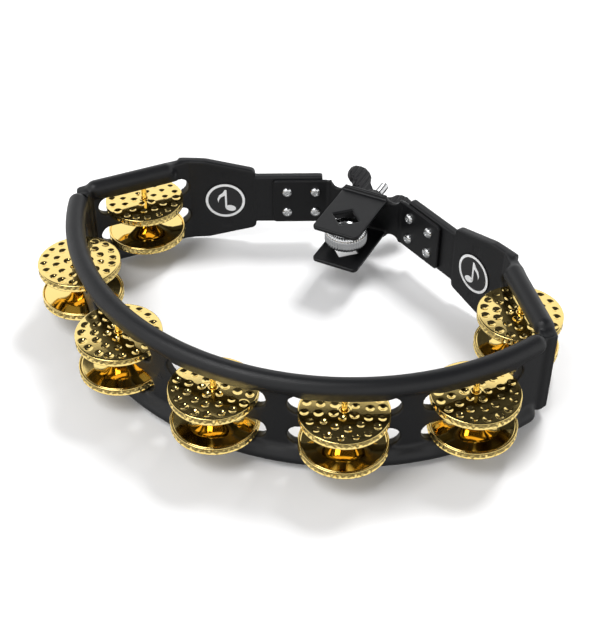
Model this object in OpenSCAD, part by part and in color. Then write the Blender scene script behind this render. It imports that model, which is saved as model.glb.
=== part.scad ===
// Two-row jingle ring (mountable tambourine) with a rear clamp for an upright rod.
// Units are millimetres and +Z is up. The origin is the axis of the clamped rod at mid height.
// The ring's front is at -Y and the clamp's wing nut is at +Y. The ring is mirror-symmetric in X.

/* [Frame] */
// radius of the front arc, measured to the jingle pins
arc_r = 169.5; // [120:0.5:200]
// distance from the rod axis forward to the arc's centre
arc_back = 3.4; // [0:0.2:30]
// half the angle that the front arc covers
arc_half = 66.3; // [50:0.2:80]
// angle between neighbouring jingle stations on the arc
station_step = 25.3; // [20:0.1:30]
// total height of the frame
frame_h = 65; // [50:0.5:80]
// diameter of the rounded rails along the top and bottom edges
rail_d = 11.6; // [8:0.1:16]
// wall thickness between the rails
web_t = 6; // [4:0.1:9]
// how far the wall's front face stands in front of the pins
web_front = 0.9; // [0:0.1:3]

/* [Arms] */
// angle of the straight arm piece that carries the last jingles
arm_angle = 51; // [35:0.5:70]
// angle of the flat plate that carries the clamp bracket
plate_angle = 27.5; // [10:0.5:45]
// sideways place of the bend between the two
bend_x = 110.3; // [80:0.5:130]
// depth place of the bend, front face
bend_y = -12.2; // [-40:0.2:20]
// distance from the bend to the jingle pin on the arm
arm_pin = 31; // [25:0.2:45]
// how far the arm's rails run past the pin toward the clamp
rail_past_pin = 16; // [0:1:30]
// half height of the flat plate at its bracket end
plate_end_h = 22.2; // [15:0.2:32]
// length of the flat plate from the bend to its shoulder
plate_len = 44.5; // [30:0.5:70]
// half height of the tongue behind the bracket
tongue_h = 18; // [12:0.5:24]
// length of the tongue past the shoulder
tongue_len = 45; // [30:0.5:60]

/* [Slots and pins] */
// height of the bar between the two rows of slots
bar_h = 9.6; // [6:0.2:14]
// height of one jingle slot
slot_h = 13.4; // [10:0.2:16]
// length of one jingle slot
slot_len = 62.4; // [56:0.2:70]
// diameter of a jingle pin
pin_d = 3.4; // [2:0.1:5]
// length of a jingle pin
pin_len = 59; // [50:0.5:64]

/* [Jingles] */
// outer diameter of a jingle
jingle_d = 51; // [45:0.5:58]
// sheet thickness of a jingle
sheet_t = 0.8; // [0.5:0.1:1.2]
// height of the hammered cap's rim
cap_rim = 4.6; // [3:0.1:6]
// how far the cap's middle stands above its edge
cap_dish = 0.5; // [0:0.1:2]
// diameter of the bore on the pin
jingle_bore = 4.4; // [3.8:0.1:6]
// height of the inner disc's skirt
inner_skirt = 3.1; // [2:0.1:4]
// height of the bell cone
bell_h = 5.6; // [3:0.1:7]
// height of the shallow boss of the upper inner disc
boss_h = 0.9; // [0.4:0.1:1.5]
// radius at the foot of the bell cone
bell_foot = 14.5; // [10:0.5:18]
// radius at the top of the bell cone
bell_top = 8.5; // [5:0.5:12]

/* [Clamp] */
// steel sheet thickness
steel_t = 2.5; // [1.5:0.1:4]
// half height of the bracket's screw plates
bracket_h = 16.5; // [12:0.5:24]
// half width of the bracket's rear plate
bracket_w = 25.7; // [20:0.5:35]
// depth place of the rear plate's front face
bracket_y = 28.7; // [22:0.1:35]
// length of a screw plate
screw_plate = 38; // [30:0.5:50]
// width of a rod tab
tab_w = 31.6; // [24:0.2:40]
// front edge of the rod tabs
tab_front = -18.5; // [-30:0.5:-12]
// outer face height of the rod tabs
tab_z = 14; // [10:0.5:20]
// side of the square rod hole in a tab
rod_square = 13.4; // [10:0.1:16]
// bore of the eyebolt
eye_bore = 13; // [10:0.1:15]
// outer diameter of the eye
eye_d = 27.6; // [20:0.2:30]
// thickness of the eye
eye_t = 11; // [8:0.5:16]
// diameter of the eyebolt's shank
shank_d = 6; // [5:0.5:10]
// depth place of the shank's free end
shank_end = 63; // [50:0.5:80]
// reach of the wings from the nut's axis
wing_reach = 26; // [15:0.5:30]

/* [Hidden] */
$fn = 64;
rail_r = rail_d / 2;
rail_z = frame_h / 2 - rail_r;
web_back = web_t - web_front;
slot_z = bar_h / 2 + slot_h / 2;
clear = 0.3;
cut = 1;
wall_z = rail_z;
pin_hole = pin_d + 0.1;
arc_stations = [-2 * station_step, -station_step, 0, station_step, 2 * station_step];
arm_run = 74;
knob_gap = 2.5;
corner_w = 8;
bush_d = 7.6;
cap_low = clear + bar_h / 2 + clear;
inner_low = clear + bar_h / 2;
wing_turn = 24;
wing_t = 5;
washer_d = 16;
washer_t = 1.7;
wing_tip_r = 8.5;
wing_tip_y = 22.5;
badge_d = 27;
badge_run = 24;
screw_head_d = 7;
screw_d = 4;
screw_dx = 9.5;
screw_z = 8;
nut_flat = 7;

// Places its children at the bend of one arm; local +X runs outward along the arm.
// side is 1 for the right arm and -1 for the left one.
module at_bend(side, angle) {
    mirror([side < 0 ? 1 : 0, 0, 0])
        translate([bend_x, bend_y, 0])
            rotate([0, 0, -angle])
                children();
}

// Places its children at a jingle station, numbered 1 to 7 from the left arm round the front.
// Local +X runs along the wall and local -Y faces the wall's recessed front face.
module at_station(number) {
    if (number == 1) {
        at_bend(-1, arm_angle) translate([arm_pin, web_front, 0]) children();
    } else if (number == 7) {
        at_bend(1, arm_angle) translate([arm_pin, web_front, 0]) children();
    } else {
        translate([0, -arc_back, 0])
            rotate([0, 0, arc_stations[number - 2]])
                translate([0, -arc_r, 0])
                    children();
    }
}

// Section of the frame: a wall with a round rail along each edge, drawn with X as the radius.
module wall_section(front, back) {
    translate([-back, -wall_z])
        square([front + back, 2 * wall_z]);
    translate([0, rail_z])
        circle(r = rail_r);
    translate([0, -rail_z])
        circle(r = rail_r);
}

// A long hole with round ends, centred on the origin.
module slot_outline() {
    half = slot_h / 2;
    reach = slot_len / 2 - half;
    polygon(concat(
        [for (a = [-90:15:90]) [reach + half * cos(a), half * sin(a)]],
        [for (a = [90:15:270]) [-reach + half * cos(a), half * sin(a)]]
    ));
}

// Both slots and the pin hole of one station.
module station_cuts() {
    for (s = [-1, 1])
        translate([0, rail_r + 2 * cut, s * slot_z])
            rotate([90, 0, 0])
                linear_extrude(height = 2 * rail_r + 4 * cut)
                    slot_outline();
    cylinder(d = pin_hole, h = pin_len + 2 * clear, center = true);
}

module front_arc() {
    translate([0, -arc_back, 0])
        rotate([0, 0, -90 - arc_half])
            rotate_extrude(angle = 2 * arc_half, $fn = 128)
                translate([arc_r, 0])
                    wall_section(web_front, web_back);
}

// Flat plate outline: tapers from the full wall height to the shoulder, then the tongue.
module plate_outline() {
    polygon([
        [6, -wall_z], [6, wall_z], [0, frame_h / 2 - 1.5], [-12, frame_h / 2 - 2.2],
        [-plate_len + 2, plate_end_h + 1], [-plate_len, plate_end_h - 1],
        [-plate_len, tongue_h], [-plate_len - tongue_len, tongue_h],
        [-plate_len - tongue_len, -tongue_h], [-plate_len, -tongue_h],
        [-plate_len, 1 - plate_end_h], [2 - plate_len, -plate_end_h - 1],
        [-12, 2.2 - frame_h / 2], [0, 1.5 - frame_h / 2]
    ]);
}

module arm(side) {
    // straight piece with its two rails
    at_bend(side, arm_angle) {
        translate([-4, 0, -wall_z])
            cube([arm_run + 4, web_t, 2 * wall_z]);
        for (s = [-1, 1])
            translate([arm_pin - rail_past_pin, web_front, s * rail_z])
                rotate([0, 90, 0])
                    cylinder(d = rail_d, h = arm_run - arm_pin + rail_past_pin - knob_gap);
        for (s = [-1, 1])
            translate([arm_pin, web_front, 0])
                cylinder(d = bush_d, h = bar_h, center = true);
    }
    // flat plate and tongue
    at_bend(side, plate_angle)
        translate([0, web_t, 0])
            rotate([90, 0, 0])
                linear_extrude(height = web_t)
                    plate_outline();
    // upright post that closes the corner
    at_bend(side, arm_angle)
        translate([arm_run - corner_w / 2, web_front, -rail_z - 1])
            cylinder(d = corner_w + 1, h = 2 * rail_z + 2);
}

module frame() {
    color([0.07, 0.07, 0.08])
    difference() {
        union() {
            front_arc();
            for (n = [2:6])
                at_station(n)
                    cylinder(d = bush_d, h = bar_h, center = true);
            arm(1);
            arm(-1);
        }
        for (n = [1:7])
            at_station(n)
                station_cuts();
        for (s = [-1, 1])
            at_bend(s, plate_angle) {
                badge_place(0)
                    cylinder(d = badge_d + 0.4, h = 2 * cut);
                for (x = [-1, 1], z = [-1, 1])
                    screw_place(x, z)
                        translate([0, 0, -web_t - 2 * cut])
                            cylinder(d = screw_d + 0.1, h = web_t + 4 * cut);
            }
    }
}

// Puts a badge's back face in its pocket on the plate's front face; local +Z faces forward.
module badge_place(lift) {
    translate([-badge_run, 0.4 - lift, 0])
        rotate([90, 0, 0])
            children();
}

module badge(side) {
    color([0.8, 0.8, 0.8])
        at_bend(side, plate_angle)
            badge_place(0.02)
                cylinder(d = badge_d, h = 0.78);
}

// Screw places on the tongue's front face; local +Z faces forward.
module screw_place(x, z) {
    translate([-plate_len - 30.6 + x * screw_dx, 0, z * screw_z])
        rotate([90, 0, 0])
            children();
}

// Seven upright pins, one at each station.
module jingle_pins() {
    color([0.86, 0.68, 0.28])
        for (n = [1:7])
            at_station(n)
                cylinder(d = pin_d, h = pin_len, center = true);
}

// Screw plates of the bracket lie on the tongues; the outer end is rounded by its corner cuts.
module screw_plate(side) {
    at_bend(side, plate_angle)
        translate([-plate_len - 30.6 - screw_plate / 2, -steel_t - 0.02, -bracket_h])
            cube([screw_plate, steel_t, 2 * bracket_h]);
}

module rod_tab(side) {
    low = side > 0 ? tab_z - steel_t : -tab_z;
    difference() {
        translate([-tab_w / 2, tab_front, low])
            cube([tab_w, bracket_y - tab_front + cut, steel_t]);
        translate([0, 0, low - cut])
            rotate([0, 0, 45])
                translate([-rod_square / 2, -rod_square / 2, 0])
                    cube([rod_square, rod_square, steel_t + 2 * cut]);
    }
}

module bracket() {
    color([0.1, 0.1, 0.11])
    difference() {
        union() {
            translate([-bracket_w - 1, bracket_y, -bracket_h])
                cube([2 * bracket_w + 2, steel_t, 2 * bracket_h]);
            screw_plate(1);
            screw_plate(-1);
            rod_tab(1);
            rod_tab(-1);
        }
        // hole for the shank
        translate([0, bracket_y + steel_t + cut, 0])
            rotate([90, 0, 0])
                cylinder(d = shank_d + 2 * clear, h = steel_t + 2 * cut);
        // bend reliefs beside the tabs
        for (x = [-1, 1], z = [-1, 1])
            translate([x * (tab_w / 2 + 3.4), bracket_y + steel_t + cut, z * bracket_h])
                rotate([90, 0, 0])
                    cylinder(r = 3.4, h = steel_t + 2 * cut);
        for (s = [-1, 1])
            at_bend(s, plate_angle)
                for (x = [-1, 1], z = [-1, 1])
                    screw_place(x, z)
                        cylinder(d = screw_d + 0.1, h = 4 * cut);
    }
}

module bracket_screws() {
    color([0.75, 0.76, 0.78])
        for (s = [-1, 1])
            at_bend(s, plate_angle)
                for (x = [-1, 1], z = [-1, 1])
                    screw_place(x, z) {
                        translate([0, 0, -web_t - 4.2])
                            cylinder(d = screw_d, h = web_t + 4.3 + steel_t);
                        translate([0, 0, steel_t + 0.04])
                            screw_head();
                    }
}

// Low domed head.
module screw_head() {
    rotate_extrude()
        polygon([
            [0, 0], [screw_head_d / 2, 0], [screw_head_d / 2, 0.7],
            [screw_head_d / 2 - 0.5, 1.5], [screw_head_d / 2 - 1.4, 2.1], [0, 2.5]
        ]);
}

module bracket_nuts() {
    color([0.7, 0.71, 0.73])
        for (s = [-1, 1])
            at_bend(s, plate_angle)
                for (x = [-1, 1], z = [-1, 1])
                    screw_place(x, z)
                        translate([0, 0, -web_t - 3.24])
                            difference() {
                                cylinder(d = nut_flat / cos(30), h = 3.2, $fn = 6);
                                translate([0, 0, -cut])
                                    cylinder(d = screw_d + 0.1, h = 3.2 + 2 * cut);
                            }
}

module washer() {
    color([0.7, 0.71, 0.73])
        translate([0, bracket_y + 2 * steel_t - 0.78, 0])
            rotate([90, 0, 0])
                difference() {
                    cylinder(d = washer_d, h = washer_t);
                    translate([0, 0, -cut])
                        cylinder(d = shank_d + 2 * clear, h = washer_t + 2 * cut);
                }
}

module eyebolt() {
    color([0.78, 0.79, 0.8])
    difference() {
        union() {
            cylinder(d = eye_d, h = eye_t, center = true);
            translate([0, shank_end, 0])
                rotate([90, 0, 0])
                    cylinder(d = shank_d, h = shank_end - eye_bore / 2 - 1);
        }
        cylinder(d = eye_bore, h = eye_t + 2 * cut, center = true);
    }
}

module wing_nut() {
    nut_y = bracket_y + 2 * steel_t - 0.78 + clear;
    color([0.05, 0.05, 0.05])
    translate([0, nut_y, 0])
    rotate([-90, 0, 0])
    rotate([0, 0, wing_turn])
    difference() {
        union() {
            rotate_extrude()
                polygon([[2, 0], [8, 0], [8, 2], [6.2, 14], [5.6, 15], [2, 15]]);
            translate([0, wing_t / 2, 0])
                rotate([90, 0, 0])
                    linear_extrude(height = wing_t)
                        wing_outline();
        }
        translate([0, 0, -cut])
            cylinder(d = shank_d + 0.16, h = 30);
    }
}

// Both wings seen from the front: they lean away from the bracket and have round tips.
module wing_outline() {
    for (s = [-1, 1])
        polygon(concat(
            [[0, 3], [s * 7, 3]],
            [for (a = [-60:20:140])
                [s * (wing_reach - wing_tip_r + wing_tip_r * cos(a)),
                    wing_tip_y + wing_tip_r * sin(a)]],
            [[s * 6, 14], [0, 14]]
        ));
}

// A hammered cap with its open side down; its rim's lower edge is at z = 0.
module cap_shape() {
    r = jingle_d / 2;
    rotate_extrude()
        polygon([
            [r, 0], [r, cap_rim - 0.5], [r - 0.5, cap_rim], [jingle_bore / 2, cap_rim + cap_dish],
            [jingle_bore / 2, cap_rim + cap_dish - sheet_t], [r - sheet_t - 0.4, cap_rim - sheet_t],
            [r - sheet_t, cap_rim - sheet_t - 0.4], [r - sheet_t, 0]
        ]);
}

// The smooth inner disc: a short skirt, a flat ring and a cone of the given height.
module inner_shape(cone) {
    r = jingle_d / 2 - sheet_t - 0.4;
    rotate_extrude()
        polygon([
            [r, 0], [r, inner_skirt], [bell_foot, inner_skirt],
            [bell_top, inner_skirt + cone], [jingle_bore / 2, inner_skirt + cone],
            [jingle_bore / 2, inner_skirt + cone - sheet_t],
            [bell_top - 0.3, inner_skirt + cone - sheet_t],
            [bell_foot - 0.3, inner_skirt - sheet_t], [r - sheet_t, inner_skirt - sheet_t],
            [r - sheet_t, 0]
        ]);
}

module cap_upper(number) {
    color([0.9, 0.7, 0.25])
        at_station(number)
            translate([0, 0, cap_low])
                cap_shape();
}

module inner_upper(number) {
    color([0.85, 0.65, 0.2])
        at_station(number)
            translate([0, 0, inner_low])
                inner_shape(boss_h);
}

module cap_lower(number) {
    floor_z = -bar_h / 2 - slot_h + clear + cap_dish;
    color([0.9, 0.7, 0.25])
        at_station(number)
            translate([0, 0, floor_z + cap_rim])
                mirror([0, 0, 1])
                    cap_shape();
}

module inner_lower(number) {
    floor_z = -bar_h / 2 - slot_h + clear + cap_dish + sheet_t + clear;
    color([0.85, 0.65, 0.2])
        at_station(number)
            translate([0, 0, floor_z])
                inner_shape(bell_h);
}

frame();
jingle_pins();
badge(-1);  // badge_left
badge(1);  // badge_right
bracket();
bracket_screws();
bracket_nuts();
washer();
eyebolt();
wing_nut();
for (n = [1:7]) {
    cap_upper(n);
    cap_lower(n);
    inner_upper(n);
    inner_lower(n);
}
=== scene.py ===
import math
import bpy
import numpy as np
from mathutils import Matrix, Vector


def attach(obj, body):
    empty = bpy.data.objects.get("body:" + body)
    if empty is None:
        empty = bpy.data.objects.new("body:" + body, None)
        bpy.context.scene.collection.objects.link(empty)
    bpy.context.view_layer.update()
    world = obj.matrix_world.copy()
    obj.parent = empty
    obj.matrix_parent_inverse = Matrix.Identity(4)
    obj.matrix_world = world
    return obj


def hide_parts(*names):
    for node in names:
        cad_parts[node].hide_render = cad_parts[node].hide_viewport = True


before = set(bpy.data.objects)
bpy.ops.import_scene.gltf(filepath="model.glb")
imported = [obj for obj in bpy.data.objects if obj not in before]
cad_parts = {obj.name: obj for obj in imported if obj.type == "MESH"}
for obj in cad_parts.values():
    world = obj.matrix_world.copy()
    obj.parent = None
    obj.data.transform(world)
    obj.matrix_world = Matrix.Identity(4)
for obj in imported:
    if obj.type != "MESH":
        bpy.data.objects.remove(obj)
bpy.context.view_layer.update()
MM = 0.001
rng = np.random.default_rng(7)

# Dimensions repeated from part.scad, in millimetres.
ARC_R, ARC_BACK, ARC_END, STEP = 169.5, 3.4, math.radians(66.3), 25.3
RAIL_R, RAIL_Z = 5.8, 26.7
WEB_T, WEB_FRONT = 6.0, 0.9
BEND = (110.3, -12.2)
ARM_A, PLATE_A = math.radians(51), math.radians(27.5)
ARM_PIN, ARM_RUN, KNOB_GAP = 31.0, 74.0, 2.5
PLATE_LEN, TONGUE_H = 44.5, 18.0
SLOT_H, SLOT_LEN, BAR_H = 13.4, 62.4, 9.6
SLOT_Z = (BAR_H + SLOT_H) / 2
JINGLE_R, BORE_R = 25.5, 2.2
CAP_RIM, SHEET_T, CLEAR = 4.6, 0.8, 0.3
SCREW_AT, SCREW_ALONG, SCREW_UP = 30.6, 9.5, 8.0
BADGE_AT = 24.0
WING_TURN = math.radians(24)
EYE_HALF = 5.5
STEEL_T, BRACKET_H, BRACKET_W, BRACKET_Y = 2.5, 16.5, 25.7, 28.7
TAB_W, TAB_FRONT, TAB_Z, ROD_SQUARE = 31.6, -18.5, 14.0, 13.4
NUT_Y = BRACKET_Y + 2 * STEEL_T - 0.78 + 0.3


# ---------- helpers for making meshes ----------
def mesh_object(name, verts, faces, material, sharp=None):
    """A smooth-shaded mesh object from points in millimetres."""
    me = bpy.data.meshes.new(name)
    me.from_pydata((np.asarray(verts, float) * MM).tolist(), [], [list(f) for f in faces])
    me.validate()
    me.polygons.foreach_set("use_smooth", [True] * len(me.polygons))
    if sharp:
        me.set_sharp_from_angle(angle=math.radians(sharp))
    me.materials.append(material)
    ob = bpy.data.objects.new(name, me)
    bpy.context.scene.collection.objects.link(ob)
    return ob


def surface(field, low, step):
    """Quads and points of the zero surface of a sampled distance field (naive surface nets)."""
    inside = field < 0
    n = np.array(field.shape) - 1
    cut = [(i, j, k) for i in (0, 1) for j in (0, 1) for k in (0, 1)]

    def part(a, c):
        return a[c[0]:c[0] + n[0], c[1]:c[1] + n[1], c[2]:c[2] + n[2]]

    count = sum(part(inside, c).astype(np.int8) for c in cut)
    active = (count > 0) & (count < 8)
    ids = np.full(active.shape, -1, np.int64)
    ids[active] = np.arange(active.sum())
    cells = np.argwhere(active).astype(float)
    total = np.zeros_like(cells)
    hits = np.zeros(len(cells))
    for a in cut:
        for axis in range(3):
            if a[axis]:
                continue
            b = list(a)
            b[axis] = 1
            fa, fb = part(field, a)[active], part(field, b)[active]
            cross = (fa < 0) != (fb < 0)
            t = np.where(cross, fa / np.where(cross, fa - fb, 1), 0)
            pos = np.tile(np.array(a, float), (len(cells), 1))
            pos[:, axis] += t
            total += pos * cross[:, None]
            hits += cross
    points = low + step * (cells + total / hits[:, None])
    quads = []
    for axis in range(3):
        u, v = [x for x in range(3) if x != axis]
        lo = [slice(None)] * 3
        hi = [slice(None)] * 3
        lo[axis], hi[axis] = slice(0, -1), slice(1, None)
        cross = inside[tuple(lo)] != inside[tuple(hi)]
        cross = np.argwhere(cross)
        keep = (cross[:, u] > 0) & (cross[:, v] > 0) & (cross[:, u] < n[u]) & (cross[:, v] < n[v])
        cross = cross[keep]
        corner = []
        for du, dv in ((-1, -1), (0, -1), (0, 0), (-1, 0)):
            c = cross.copy()
            c[:, u] += du
            c[:, v] += dv
            corner.append(ids[tuple(c.T)])
        q = np.stack(corner, 1)
        flip = inside[tuple(cross.T)] ^ (axis == 1)
        q[~flip] = q[~flip][:, ::-1]
        quads.append(q)
    return points, np.concatenate(quads)


def grid(low, high, step):
    axes = [np.arange(a, b + step, step, dtype=np.float32) for a, b in zip(low, high)]
    return np.meshgrid(*axes, indexing="ij", sparse=True), np.array(low, float)


def blend(a, b, k):
    h = np.clip(0.5 + 0.5 * (b - a) / k, 0, 1)
    return b * (1 - h) + a * h - k * h * (1 - h)


def carve(a, b, k):
    """a with b taken away, its edge rounded by k."""
    return -blend(-a, b, k)


def meet(a, b, k):
    """What is inside both, the edge between them rounded by k."""
    return -blend(-a, -b, k)


def slab(values, halves, round_by=0.0):
    """Rounded box distance from local coordinates and half sizes."""
    q = [np.abs(v) - (h - round_by) for v, h in zip(values, halves)]
    out = sum(np.maximum(x, 0) ** 2 for x in q) ** 0.5
    worst = q[0]
    for x in q[1:]:
        worst = np.maximum(worst, x)
    return out + np.minimum(worst, 0) - round_by


def lathe(profile, turns=96, warp=None):
    """Points and quads of a profile of (radius, height) turned about Z, closed on itself."""
    profile = np.asarray(profile, float)
    ang = np.linspace(0, 2 * math.pi, turns, endpoint=False)
    r = np.repeat(profile[:, 0][None], turns, 0)
    z = np.repeat(profile[:, 1][None], turns, 0)
    a = np.repeat(ang[:, None], len(profile), 1)
    if warp:
        r, z = warp(r, z, a)
    pts = np.stack([r * np.cos(a), r * np.sin(a), z], -1).reshape(-1, 3)
    m = len(profile)
    i, j = np.meshgrid(np.arange(turns), np.arange(m), indexing="ij")
    i2, j2 = (i + 1) % turns, (j + 1) % m
    quads = np.stack([i * m + j, i2 * m + j, i2 * m + j2, i * m + j2], -1).reshape(-1, 4)
    return pts, quads


def fine(profile, step):
    """The profile with extra points so that no piece is longer than step."""
    out = []
    for a, b in zip(profile, profile[1:] + profile[:1]):
        n = max(1, int(math.hypot(b[0] - a[0], b[1] - a[1]) / step))
        out += [(a[0] + (b[0] - a[0]) * i / n, a[1] + (b[1] - a[1]) * i / n) for i in range(n)]
    return out


def join(parts):
    pts, faces, at = [], [], 0
    for p, f in parts:
        pts.append(np.asarray(p, float))
        faces += [[int(x) + at for x in q] for q in f]
        at += len(p)
    return np.concatenate(pts), faces


# ---------- materials ----------
def material(name, color, metallic, rough, rough_vary, grain_scale, grain, tint=None, gloss=0.5):
    m = bpy.data.materials.new(name)
    m.use_nodes = True
    nt = m.node_tree
    bsdf = nt.nodes["Principled BSDF"]
    bsdf.inputs["Metallic"].default_value = metallic
    bsdf.inputs["Specular IOR Level"].default_value = gloss
    coord = nt.nodes.new("ShaderNodeTexCoord")
    noise = nt.nodes.new("ShaderNodeTexNoise")
    noise.inputs["Scale"].default_value = grain_scale
    noise.inputs["Detail"].default_value = 4.0
    nt.links.new(coord.outputs["Object"], noise.inputs["Vector"])
    wide = nt.nodes.new("ShaderNodeTexNoise")
    wide.inputs["Scale"].default_value = grain_scale / 14
    wide.inputs["Detail"].default_value = 3.0
    nt.links.new(coord.outputs["Object"], wide.inputs["Vector"])
    ramp = nt.nodes.new("ShaderNodeMapRange")
    ramp.inputs["To Min"].default_value = rough - rough_vary
    ramp.inputs["To Max"].default_value = rough + rough_vary
    nt.links.new(wide.outputs["Fac"], ramp.inputs["Value"])
    nt.links.new(ramp.outputs["Result"], bsdf.inputs["Roughness"])
    mix = nt.nodes.new("ShaderNodeMix")
    mix.data_type = "RGBA"
    mix.inputs["A"].default_value = (*color, 1)
    mix.inputs["B"].default_value = (*(tint or [c * 0.8 for c in color]), 1)
    nt.links.new(wide.outputs["Fac"], mix.inputs["Factor"])
    nt.links.new(mix.outputs["Result"], bsdf.inputs["Base Color"])
    bump = nt.nodes.new("ShaderNodeBump")
    bump.inputs["Strength"].default_value = grain
    bump.inputs["Distance"].default_value = 0.0002
    nt.links.new(noise.outputs["Fac"], bump.inputs["Height"])
    nt.links.new(bump.outputs["Normal"], bsdf.inputs["Normal"])
    return m


PLASTIC = material("black_plastic_grain", (0.0055, 0.0058, 0.0068), 0, 0.42, 0.06, 1700, 0.6, gloss=0.36)
STEEL = material("black_powder_coat", (0.006, 0.0062, 0.007), 0, 0.36, 0.05, 1900, 0.12, gloss=0.28)
NYLON = material("black_nylon", (0.005, 0.005, 0.006), 0, 0.4, 0.06, 1500, 0.15, gloss=0.3)
ZINC = material("bright_zinc", (0.78, 0.79, 0.8), 1, 0.2, 0.06, 900, 0.08)
GOLD = material("hammered_gold", (0.96, 0.745, 0.3), 1, 0.075, 0.03, 700, 0.03, tint=(0.93, 0.69, 0.23))
MIRROR = material("smooth_gold", (0.96, 0.745, 0.3), 1, 0.06, 0.02, 500, 0.02, tint=(0.92, 0.68, 0.22))
WHITE = material("badge_white", (0.86, 0.87, 0.88), 0, 0.4, 0.05, 900, 0.05)
INK = material("badge_black", (0.012, 0.012, 0.013), 0, 0.35, 0.05, 900, 0.05)


# ---------- the moulded frame ----------
def local(x, y, angle):
    """Coordinates along and behind one arm piece that turns about the bend."""
    dx, dy = x - BEND[0], y - BEND[1]
    return dx * math.cos(angle) - dy * math.sin(angle), dx * math.sin(angle) + dy * math.cos(angle)


def slot_field(u, z, half_h):
    q = np.maximum(np.abs(u) - (SLOT_LEN / 2 - SLOT_H / 2), 0)
    return np.minimum(*[np.sqrt(q ** 2 + (z - s * SLOT_Z) ** 2) - half_h for s in (-1, 1)])


def make_frame(step):
    """The right half of the moulding as one distance field, mirrored before it is meshed."""
    (x, y, z), low = grid((0, -184, -35), (164, 60, 35), step)
    az = np.abs(z)
    ya = y + ARC_BACK
    rho = np.sqrt(x ** 2 + ya ** 2)
    ang = np.arctan2(x, -ya)
    d = rho - ARC_R
    stop = ARC_END - 0.042
    end = np.array([ARC_R * math.sin(stop), -ARC_R * math.cos(stop)])
    beyond = np.sqrt((x - end[0]) ** 2 + (ya - end[1]) ** 2)
    # rails and wall of the front arc
    flat = np.where(ang < stop, np.abs(d), beyond)
    rail = np.sqrt(flat ** 2 + (az - RAIL_Z) ** 2) - RAIL_R
    mid = (WEB_FRONT - (WEB_T - WEB_FRONT)) / 2
    over = np.maximum(ang - ARC_END, 0) * ARC_R
    wall = slab((d - mid, az + 0 * x, over), (WEB_T / 2, RAIL_Z, 0.6), 0.5)
    f = blend(rail, wall, 3.2)
    # the rails' lower edges swell towards every slot
    for a in (0, math.radians(STEP), math.radians(2 * STEP)):
        run = np.abs(ang - a) * ARC_R
        swell = np.clip((35 - run) / 13, 0, 1)
        swell = swell * swell * (3 - 2 * swell)
        lobe = np.sqrt((d - 0.9) ** 2 + (az - 22.3) ** 2) - (0.5 + 3.3 * swell)
        f = blend(f, np.where(swell > 0, lobe, 9), 2.0)
    # the arm
    s, t = local(x, y, ARM_A)
    dt = WEB_FRONT - t
    along = np.maximum(np.maximum((ARM_PIN - 16) - s, s - (ARM_RUN - KNOB_GAP - 8.5)), 0)
    arm_rail = np.sqrt(along ** 2 + dt ** 2 + (az - RAIL_Z) ** 2) - RAIL_R
    crest = np.interp(s, [10, 20], [30.8, 27.8])
    arm_wall = slab((s - ARM_RUN / 2, t - WEB_T / 2), (ARM_RUN / 2, WEB_T / 2), 0.8)
    arm_wall = meet(arm_wall, az - crest, 1.6)
    run = np.abs(s - ARM_PIN)
    swell = np.clip((35 - run) / 13, 0, 1)
    lobe = np.sqrt((dt - 0.9) ** 2 + (az - 22.3) ** 2) - (0.5 + 3.0 * swell)
    arm = blend(blend(arm_rail, arm_wall, 2.6), np.where((swell > 0) & (s > 8), lobe, 9), 2.0)
    f = blend(f, arm, 1.6)
    # corner post
    post = np.sqrt((s - ARM_RUN + 3.5) ** 2 + (t - 0.4) ** 2) - 4.6
    post = np.maximum(post, az - 28.2)
    f = blend(f, post, 1.6)
    # flat plate and tongue
    s2, t2 = local(x, y, PLATE_A)
    taper = np.maximum((az - 30.6) * 0.972 - (s2 + 12) * 0.236, (az - 31.2) - s2 * 0.05)
    outline = meet(np.maximum(taper, az - 31.2), -44.5 - s2, 3.0)
    plate = np.maximum(meet(outline, np.abs(t2 - WEB_T / 2) - WEB_T / 2, 1.6), s2 - 6)
    tongue = slab((s2 + 67, t2 - WEB_T / 2, az + 0 * x), (22.4, WEB_T / 2, TONGUE_H), 1.2)
    plate = blend(plate, tongue, 1.5)
    f = blend(f, plate, 1.2)
    # bosses for the pins on the middle bar
    stations = [math.radians(k * STEP) for k in (0, 1, 2)]
    for a in stations:
        px, py = ARC_R * math.sin(a), -ARC_R * math.cos(a) - ARC_BACK
        boss = np.maximum(np.sqrt((x - px) ** 2 + (y - py) ** 2) - 3.8, az - 7)
        f = blend(f, boss, 1.2)
    boss = np.maximum(np.sqrt((s - ARM_PIN) ** 2 + dt ** 2) - 3.8, az - 7)
    f = blend(f, boss, 1.2)
    # slots
    for a in stations:
        u = x * math.cos(a) + ya * math.sin(a)
        near = np.abs(x * math.sin(a) - ya * math.cos(a) - ARC_R) < 40
        f = np.where(near, carve(f, slot_field(u, z, SLOT_H / 2), 0.9), f)
    f = np.where(np.abs(t) < 12, carve(f, slot_field(s - ARM_PIN, z, SLOT_H / 2), 0.9), f)
    # badge pocket, corner notch hole and two small sinks above and below the badge
    badge = np.sqrt((s2 + BADGE_AT) ** 2 + z ** 2) - 13.8
    f = np.maximum(f, -np.maximum(badge, np.abs(t2) - 0.4))
    hole = np.sqrt((x - 151.6) ** 2 + (y + 71.5) ** 2) - 1.5
    f = np.maximum(f, -np.maximum(hole, 24.5 - az))
    for k in (-1, 1):
        sink = np.sqrt((s2 + BADGE_AT) ** 2 + (z - 18.4 * k) ** 2) - 3.2
        f = np.maximum(f, -np.maximum(sink, np.abs(t2) - 0.25))
    f = np.broadcast_to(f, np.broadcast_shapes(x.shape, y.shape, z.shape)).astype(np.float32)
    full = np.concatenate([f[1:][::-1], f])
    low = np.array([-step * (f.shape[0] - 1), low[1], low[2]])
    return surface(full, low, step)


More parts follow.
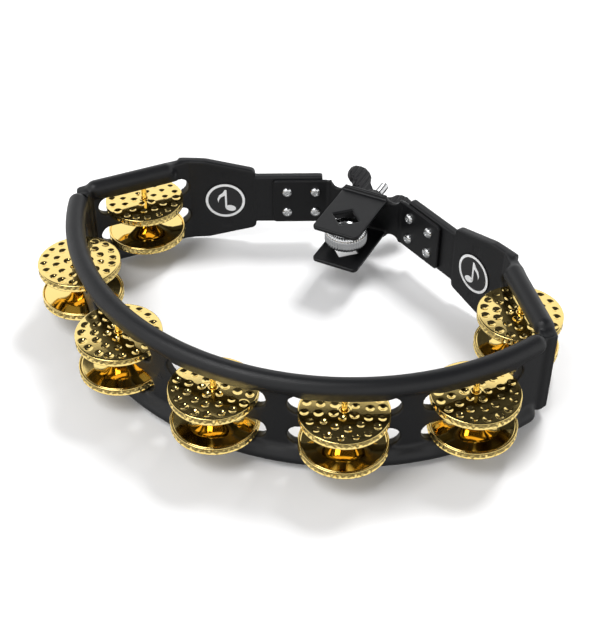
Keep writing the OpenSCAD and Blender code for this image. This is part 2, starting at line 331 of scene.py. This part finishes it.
pts, quads = make_frame(0.8)
body = mesh_object("frame_moulding", pts, quads, PLASTIC)
smooth = body.modifiers.new("even", "LAPLACIANSMOOTH")
smooth.iterations = 2
smooth.lambda_factor = 0.25
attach(body, "frame_body")
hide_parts("frame")


# ---------- the bracket ----------
def make_bracket(step):
    """Screw plates, rear plate and the two tabs with their square holes."""
    (x, y, z), low = grid((0, -20, -18), (62, 34, 18), step)
    az = np.abs(z)
    s, t = local(x, y, PLATE_A)
    centre = -PLATE_LEN - SCREW_AT
    wing = slab((s - centre, t + STEEL_T / 2 + 0.02, az + 0 * x), (19, STEEL_T / 2, BRACKET_H), 0.5)
    corner = slab((s - centre, az + 0 * x), (19, BRACKET_H), 3.0)
    wing = np.maximum(wing, corner)
    rear = slab((x + 0 * y, y - BRACKET_Y - STEEL_T / 2, az), (BRACKET_W + 0.7, STEEL_T / 2, BRACKET_H), 0.5)
    f = blend(wing, rear, 2.2)
    relief = np.sqrt((x - TAB_W / 2 - 4.2) ** 2 + (az - BRACKET_H - 1) ** 2) - 5.2
    f = carve(f, np.where(y > 20, relief, 9), 0.5)
    mid_y = (TAB_FRONT + BRACKET_Y + 1) / 2
    half_run = (BRACKET_Y + 1 - TAB_FRONT) / 2
    tab = slab((x, y - mid_y, az - TAB_Z + STEEL_T / 2), (TAB_W / 2, half_run, STEEL_T / 2), 0.45)
    outline = slab((x, y - mid_y - 4), (TAB_W / 2, half_run + 4), 3.6)
    tab = np.maximum(tab, outline)
    f = blend(f, tab, 2.4)
    hole = (np.abs(x) + np.abs(y)) / math.sqrt(2) - ROD_SQUARE / 2
    f = carve(f, np.where(np.abs(y) < 16, hole, 9), 0.4)
    shank = np.sqrt(x ** 2 + z ** 2) - 3.3
    f = np.maximum(f, -np.where(y > 20, shank, 9))
    f = np.broadcast_to(f, np.broadcast_shapes(x.shape, y.shape, z.shape)).astype(np.float32)
    full = np.concatenate([f[1:][::-1], f])
    return surface(full, np.array([-step * (f.shape[0] - 1), low[1], low[2]]), step)


pts, quads = make_bracket(0.5)
bracket = mesh_object("bracket_steel", pts, quads, STEEL)
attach(bracket, "frame_body")
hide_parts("bracket")


# ---------- wing nut ----------
def make_wing_nut(step):
    """Hub and ribbed wings, with the bolt axis along Z and the wings along X."""
    (x, y, z), low = grid((-28, -10, -1), (28, 10, 33), step)
    r = np.sqrt(x ** 2 + y ** 2)
    cone = np.interp(z, [-1, 0, 2, 14, 15, 16], [8, 8, 7.9, 6.2, 5.2, 4.2])
    hub = np.maximum(r - cone, np.maximum(-z, z - 15))
    tip = np.sqrt((np.abs(x) - 17.5) ** 2 + (z - 22.5) ** 2) - 8.3
    ax = np.clip(np.abs(x), 0, 17.5)
    low_z, high_z = 3 + ax * 0.5, 13.5 + ax * 0.93
    arm = np.maximum(np.maximum(low_z - z, z - high_z), np.abs(x) - 17.5)
    outline = blend(tip, arm, 3.0)
    ribs = 0.5 * np.cos(np.abs(x) * 2 * math.pi / 3.4) * np.clip((np.abs(x) - 7.5) / 2, 0, 1)
    thick = 2.4 + ribs * np.clip(-outline / 1.6, 0, 1)
    plate = meet(np.abs(y) - thick, outline, 1.4)
    f = blend(hub, plate, 1.6)
    f = np.maximum(f, -(r - 3.05))
    f = np.broadcast_to(f, np.broadcast_shapes(x.shape, y.shape, z.shape)).astype(np.float32)
    return surface(f, low, step)


pts, quads = make_wing_nut(0.4)
c, s_ = math.cos(WING_TURN), math.sin(WING_TURN)
lx, ly, lz = pts[:, 0] * c - pts[:, 1] * s_, pts[:, 0] * s_ + pts[:, 1] * c, pts[:, 2]
pts = np.stack([lx, lz + NUT_Y, -ly], -1)
nut = mesh_object("wing_nut_ribbed", pts, quads, NYLON)
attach(nut, "wing_nut_body")
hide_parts("wing_nut")


# ---------- eyebolt ----------
def make_eye():
    """The ring that holds the rod, its outer edge serrated."""
    top = EYE_HALF
    half = [(6.5, -top + 0.8), (6.5, top - 0.8), (7.3, top), (11.6, top), (13.0, top - 1.0),
            (13.75, top - 2.4), (13.75, -top + 2.4), (13.0, -top + 1.0), (11.6, -top), (7.3, -top)]

    def serrate(r, z, a):
        edge = np.clip((r - 10) / 2.5, 0, 1)
        saw = np.abs(((a * 44 / (2 * math.pi)) % 1) - 0.5) * 2
        return r - 0.55 * edge * saw, z

    return lathe(fine(half, 1.1), 352, serrate)


def make_shank():
    """Shank along Y with a helical thread on its rear part."""
    rows, turns = 440, 36
    y0, y1 = 12.6, 62.8
    ys = np.linspace(y0, y1, rows)
    a = np.linspace(0, 2 * math.pi, turns, endpoint=False)
    yy, aa = np.meshgrid(ys, a, indexing="ij")
    tooth = np.abs(((yy / 1.0 + aa / (2 * math.pi)) % 1) - 0.5) * 2
    r = np.where(yy > 24, 2.98 - 0.42 * tooth, 3.0)
    r = np.minimum(r, 2.2 + (y1 - yy) * 1.2)
    pts = np.stack([r * np.cos(aa), yy, r * np.sin(aa)], -1).reshape(-1, 3)
    i, j = np.meshgrid(np.arange(rows - 1), np.arange(turns), indexing="ij")
    j2 = (j + 1) % turns
    quads = np.stack([i * turns + j, i * turns + j2, (i + 1) * turns + j2, (i + 1) * turns + j], -1)
    quads = quads.reshape(-1, 4).tolist()
    quads.append([(rows - 1) * turns + k for k in range(turns)])
    quads.append([turns - 1 - k for k in range(turns)])
    return pts, quads


pts, faces = join([make_eye(), make_shank()])
eye = mesh_object("eyebolt_serrated", pts, faces, ZINC, sharp=40)
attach(eye, "eyebolt_body")
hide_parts("eyebolt")


# ---------- fastener heads ----------
def plate_point(side, s, t, z):
    """A point on an arm's plate from its place along and behind the front face."""
    x = BEND[0] + s * math.cos(PLATE_A) + t * math.sin(PLATE_A)
    y = BEND[1] - s * math.sin(PLATE_A) + t * math.cos(PLATE_A)
    return np.array([side * x, y, z])


def facing(side, pts, s, t, z):
    """Moves shapes that face +Z so that they face forward on the plate's front face."""
    x = np.array([math.cos(PLATE_A), -math.sin(PLATE_A), 0])
    out = -np.array([math.sin(PLATE_A), math.cos(PLATE_A), 0])
    if side < 0:
        x = x * [-1, 1, 1]
        out = out * [-1, 1, 1]
    return plate_point(side, s, t, z) + pts[:, :1] * x + pts[:, 1:2] * [0, 0, 1] + pts[:, 2:3] * out


def screw_mesh():
    """A round-headed screw with a six-lobed recess, its head facing +Z."""
    base = STEEL_T + 0.04
    outer = [(0.01, -9.9), (2.0, -9.9), (2.0, base), (3.5, base), (3.5, base + 0.6), (3.3, base + 1.15),
             (2.9, base + 1.7), (2.3, base + 2.1), (1.6, base + 2.3), (1.3, base + 2.2),
             (1.1, base + 1.3), (0.4, base + 1.2), (0.01, base + 1.3)]

    def socket(r, z, a):
        inner = (r < 1.5) * (z > base + 0.5)
        star = 1 + 0.14 * np.cos(6 * a)
        return np.where(inner > 0, r * star, r), z

    return lathe(outer, 48, socket)


parts = []
for side in (-1, 1):
    for i in (-1, 1):
        for k in (-1, 1):
            p, q = screw_mesh()
            q = [list(f) if side > 0 else list(f)[::-1] for f in q]
            parts.append((facing(side, p, -PLATE_LEN - SCREW_AT + i * SCREW_ALONG, 0, k * SCREW_UP), q))
pts, faces = join(parts)
screws = mesh_object("bracket_screw_heads", pts, faces, ZINC, sharp=45)
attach(screws, "frame_body")
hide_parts("bracket_screws")


# ---------- badges: a white ring round a plain note shape ----------
def prism(outline, z0, z1):
    n = len(outline)
    pts = np.array([[x, y, z] for z in (z0, z1) for x, y in outline])
    faces = [list(range(n))[::-1], list(range(n, 2 * n))]
    faces += [[i, (i + 1) % n, n + (i + 1) % n, n + i] for i in range(n)]
    return pts, faces


def note_parts():
    head = [(-3.0 + 2.6 * math.cos(a) * 1.15 - 0.5 * math.sin(a),
             -5.2 + 1.9 * math.sin(a) + 0.7 * math.cos(a))
            for a in np.linspace(0, 2 * math.pi, 28, endpoint=False)]
    stem = [(-0.9, -5), (0.2, -5), (0.2, 7.5), (-0.9, 7.5)]
    flag = [(0.2, 7.5), (1.4, 5.4), (3.6, 3.6), (4.6, 1.2), (4.1, -1.4), (3.7, 0.6), (2.4, 2.4), (0.2, 3.6)]
    return [[(x * 1.15, z * 1.15) for x, z in o] for o in (head, stem, flag)]


for side, name in ((-1, "left"), (1, "right")):
    disc, dq = lathe([(0.01, -0.38), (13.4, -0.38), (13.4, 0.25), (13.2, 0.4), (0.01, 0.4)], 96)
    ring, rq = lathe([(11.5, 0.38), (13.2, 0.38), (13.2, 0.58), (11.5, 0.58)], 96)
    whites = [(ring, rq)] + [prism(o, 0.35, 0.6) for o in note_parts()]
    wp, wf = join(whites)
    for label, p, f, m in (("face", disc, dq.tolist(), INK), ("print", wp, wf, WHITE)):
        p = facing(side, np.asarray(p), -BADGE_AT, 0, 0)
        f = [list(x) if side > 0 else list(x)[::-1] for x in f]
        ob = mesh_object(f"badge_{name}_{label}", p, f, m, sharp=35)
        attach(ob, "frame_body")
        if label == "face":
            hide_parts(f"badge_{name}")


# a small round gate mark on the wall left of the middle station
ring, rq = lathe([(1.0, -0.3), (1.8, -0.3), (1.8, 0.1), (1.55, 0.22), (1.2, 0.22), (1.0, 0.0)], 40)
a = math.radians(-STEP / 2)
out = np.array([math.sin(a), -math.cos(a), 0])
spot = np.array([0, -ARC_BACK, 0]) + out * (ARC_R + WEB_FRONT)
across = np.array([math.cos(a), math.sin(a), 0])
ring = spot + ring[:, :1] * across + ring[:, 1:2] * [0, 0, 1] + ring[:, 2:3] * out
mark = mesh_object("gate_mark", ring, rq, PLASTIC, sharp=35)
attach(mark, "frame_body")


# ---------- jingles ----------
RINGS = [(6.6, 6, 0.3), (14.0, 12, 0.1), (21.2, 18, 0.0)]
DIMPLES = np.array([[r * math.cos(2 * math.pi * (i + o) / n), r * math.sin(2 * math.pi * (i + o) / n)]
                    for r, n, o in RINGS for i in range(n)])
DIMPLES += rng.normal(0, 0.35, DIMPLES.shape)
DEPTHS = rng.uniform(0.6, 0.95, len(DIMPLES))
SIZES = rng.uniform(2.2, 2.8, len(DIMPLES))
LUMPS = [(rng.integers(18, 60), rng.uniform(0, 6.28), rng.uniform(-1, 1)) for _ in range(14)]


def rim_noise(a, z):
    v = sum(math.copysign(1, w) * np.cos(n * a + p + w * z * 1.6) for n, p, w in LUMPS)
    return v / len(LUMPS)


def make_cap():
    """A hammered disc with a turned-down, beaten rim."""
    r = JINGLE_R
    top = CAP_RIM
    outer = [(r - 0.35, 0.0), (r - 0.02, 0.18), (r, 0.5), (r - 0.28, 0.85), (r - 0.35, 1.3),
             (r - 0.35, top - 1.1), (r - 0.3, top - 0.7), (r - 0.02, top - 0.42), (r - 0.1, top - 0.1),
             (r - 0.5, top)]
    # a shallow dome with a low lip round the bore, which has to stay under the slot's top
    plate = [(rr, top + 0.5 * (1 - (rr / r) ** 2) + 0.2 * math.exp(-((rr - 3.0) / 0.55) ** 2))
             for rr in np.linspace(r - 0.9, BORE_R, 64)]
    under = [(BORE_R, top + 0.5 - 0.8), (8, top - 0.36), (r - 1.4, top - 0.8),
             (r - 0.95, top - 1.2), (r - 0.95, 0.1)]
    dense = []
    for a, b in zip(outer, outer[1:]):
        n = max(1, int(math.hypot(b[0] - a[0], b[1] - a[1]) / 0.4))
        dense += [(a[0] + (b[0] - a[0]) * i / n, a[1] + (b[1] - a[1]) * i / n) for i in range(n)]
    prof = dense + [outer[-1]] + plate + under

    def hammer(rr, z, a):
        x, y = rr * np.cos(a), rr * np.sin(a)
        upper = (z > top - 0.02) & (rr < r - 0.8)
        dent = np.zeros_like(z)
        for (dx, dy), depth, size in zip(DIMPLES, DEPTHS, SIZES):
            q = ((x - dx) ** 2 + (y - dy) ** 2) / size ** 2
            bowl = np.maximum(1 - q, 0) ** 1.4 * depth
            lip = 0.08 * np.exp(-((np.sqrt(q) - 1.1) / 0.2) ** 2)
            dent = np.maximum(dent, bowl) - lip * (q < 2.2)
        z = np.where(upper, z - dent, z)
        side = (rr > r - 0.6) & (z > 0.9) & (z < top - 0.5)
        rr = np.where(side, rr - 0.1 + 1.1 * rim_noise(a, z), rr)
        edge = (rr > r - 0.3) & (z > top - 0.6)
        rr = np.where(edge, rr + 0.04 * rim_noise(a, 0), rr)
        return np.minimum(rr, r), z

    return lathe(prof, 288, hammer)


def make_inner(cone, foot, head):
    """A smooth disc that rises to a bell cone or a low boss of the given height and radii."""
    r = JINGLE_R - 1.25
    top = 3.1
    prof = [(r - 0.3, 0), (r, 0.25), (r, top - 0.35), (r - 0.3, top)]
    prof += [(rr, top - 0.12 * math.sin(math.pi * (r - rr) / (r - foot)))
             for rr in np.linspace(r - 1, foot + 1.8, 12)]
    for t in np.linspace(0, 1, 15):
        rr = foot + 1.5 - (foot + 1.5 - head) * t
        prof.append((rr, top + cone * t ** 1.5))
    prof += [(head - 0.6, top + cone), (BORE_R + 0.3, top + cone), (BORE_R, top + cone - 0.2),
             (BORE_R, top + cone - 0.8), (head - 0.3, top + cone - 0.8), (foot - 0.3, top - 0.8),
             (r - 0.8, top - 0.8), (r - 0.8, 0)]
    return lathe(prof, 160)


def station(number):
    """Place and turn of a jingle station."""
    if number in (1, 7):
        side = -1 if number == 1 else 1
        x = BEND[0] + ARM_PIN * math.cos(ARM_A) + WEB_FRONT * math.sin(ARM_A)
        y = BEND[1] - ARM_PIN * math.sin(ARM_A) + WEB_FRONT * math.cos(ARM_A)
        return side * x, y
    a = math.radians((number - 4) * STEP)
    return ARC_R * math.sin(a), -ARC_BACK - ARC_R * math.cos(a)


CAP_LOW = BAR_H / 2 + 2 * CLEAR
INNER_LOW = BAR_H / 2 + CLEAR
FLOOR = -BAR_H / 2 - SLOT_H + CLEAR + 0.5
cap_pts, cap_quads = make_cap()
bell_pts, bell_quads = make_inner(5.6, 14.5, 5.5)
boss_pts, boss_quads = make_inner(0.9, 14.5, 8.5)
source = {}
for label, p, q, m in (("cap", cap_pts, cap_quads, GOLD), ("bell", bell_pts, bell_quads, MIRROR),
                       ("boss", boss_pts, boss_quads, MIRROR)):
    ob = mesh_object("source_" + label, p, q, m)
    source[label] = ob.data
    bpy.data.objects.remove(ob)


def place(name, data, number, height, body, node, flip=False, turn=0.0):
    """Puts one disc on a station's pin and lets it ride on its body."""
    ob = bpy.data.objects.new(name, data)
    bpy.context.scene.collection.objects.link(ob)
    x, y = station(number)
    m = Matrix.Translation(Vector((x, y, height)) * MM) @ Matrix.Rotation(turn, 4, "Z")
    if flip:
        m = m @ Matrix.Rotation(math.pi, 4, "X")
    ob.matrix_world = m
    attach(ob, body)
    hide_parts(node)


for n in range(1, 8):
    spin = rng.uniform(0, 6.28, 2)
    place(f"cap_{n}_upper_hammered", source["cap"], n, CAP_LOW,
          f"jingle_{n}_upper_cap", f"cap_{n}_upper", turn=spin[0])
    place(f"cap_{n}_lower_hammered", source["cap"], n, FLOOR + CAP_RIM,
          f"jingle_{n}_lower_cap", f"cap_{n}_lower", flip=True, turn=spin[1])
    place(f"inner_{n}_upper_smooth", source["boss"], n, INNER_LOW,
          f"jingle_{n}_upper_inner", f"inner_{n}_upper")
    place(f"inner_{n}_lower_smooth", source["bell"], n, FLOOR + SHEET_T + CLEAR,
          f"jingle_{n}_lower_inner", f"inner_{n}_lower")

# CAD nodes that keep their shape get a better material.
for node, m in (("jingle_pins", MIRROR), ("bracket_nuts", ZINC), ("washer", ZINC)):
    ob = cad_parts[node]
    for slot in ob.material_slots:
        slot.material = m


# ---------- stage, light and camera ----------
floor_pts = [(-3000, -3000, -34.2), (3000, -3000, -34.2), (3000, 3000, -34.2), (-3000, 3000, -34.2)]
FLOOR_MAT = material("pale_floor", (0.9, 0.9, 0.905), 0, 0.6, 0.02, 60, 0.0, tint=(0.88, 0.88, 0.885))
floor = mesh_object("floor", floor_pts, [[0, 1, 2, 3]], FLOOR_MAT)
floor.visible_glossy = False

world = bpy.data.worlds.new("studio")
bpy.context.scene.world = world
world.use_nodes = True
wt = world.node_tree
back = wt.nodes["Background"]
coord = wt.nodes.new("ShaderNodeTexCoord")
split = wt.nodes.new("ShaderNodeSeparateXYZ")
ramp = wt.nodes.new("ShaderNodeValToRGB")
wt.links.new(coord.outputs["Generated"], split.inputs["Vector"])
half = wt.nodes.new("ShaderNodeMapRange")
half.inputs["From Min"].default_value = -1.0
wt.links.new(split.outputs["Z"], half.inputs["Value"])
wt.links.new(half.outputs["Result"], ramp.inputs["Fac"])
wt.links.new(ramp.outputs["Color"], back.inputs["Color"])
els = ramp.color_ramp.elements
els[0].position, els[0].color = 0.0, (0.12, 0.12, 0.12, 1)
els[1].position, els[1].color = 1.0, (0.03, 0.03, 0.035, 1)
for pos, v in ((0.17, 0.25), (0.3, 0.55), (0.42, 1.0), (0.826, 1.0), (0.85, 0.05)):
    e = els.new(pos)
    e.color = (v, v, v, 1)
back.inputs["Strength"].default_value = 1.15


def area(name, loc, target, size, power, mirrored):
    """A rectangular lamp aimed at a point, seen in reflections only if mirrored."""
    data = bpy.data.lights.new(name, "AREA")
    data.shape = "RECTANGLE"
    data.size, data.size_y = size
    data.energy = power
    ob = bpy.data.objects.new(name, data)
    bpy.context.scene.collection.objects.link(ob)
    ob.location = loc
    ob.rotation_mode = "QUATERNION"
    ob.rotation_quaternion = (Vector(target) - Vector(loc)).to_track_quat("-Z", "Y")
    ob.visible_glossy = mirrored


area("key", (0.1, 0.8, 1.35), (0, -0.06, 0), (0.45, 0.45), 21, False)
area("front", (-0.35, -0.75, 1.35), (0, -0.06, 0), (0.8, 0.8), 13, True)

cam_data = bpy.data.cameras.new("camera")
cam_data.sensor_width = 36
cam_data.lens = 1265.2 / 640 * 36
cam_data.clip_start, cam_data.clip_end = 0.01, 50
cam = bpy.data.objects.new("camera", cam_data)
bpy.context.scene.collection.objects.link(cam)
# the camera looks at CAM_TARGET from CAM_RANGE metres away
CAM_TARGET, CAM_RANGE = (12.89, -89.17, 0), 0.75791
a, e = math.radians(26.64), math.radians(40.45)
back_v = Vector((math.sin(a) * math.cos(e), -math.cos(a) * math.cos(e), math.sin(e)))
cam.location = Vector(CAM_TARGET) * MM + back_v * CAM_RANGE
cam.rotation_mode = "QUATERNION"
cam.rotation_quaternion = (-back_v).to_track_quat("-Z", "Y")
bpy.context.scene.camera = cam
bpy.context.scene.view_settings.view_transform = "Standard"
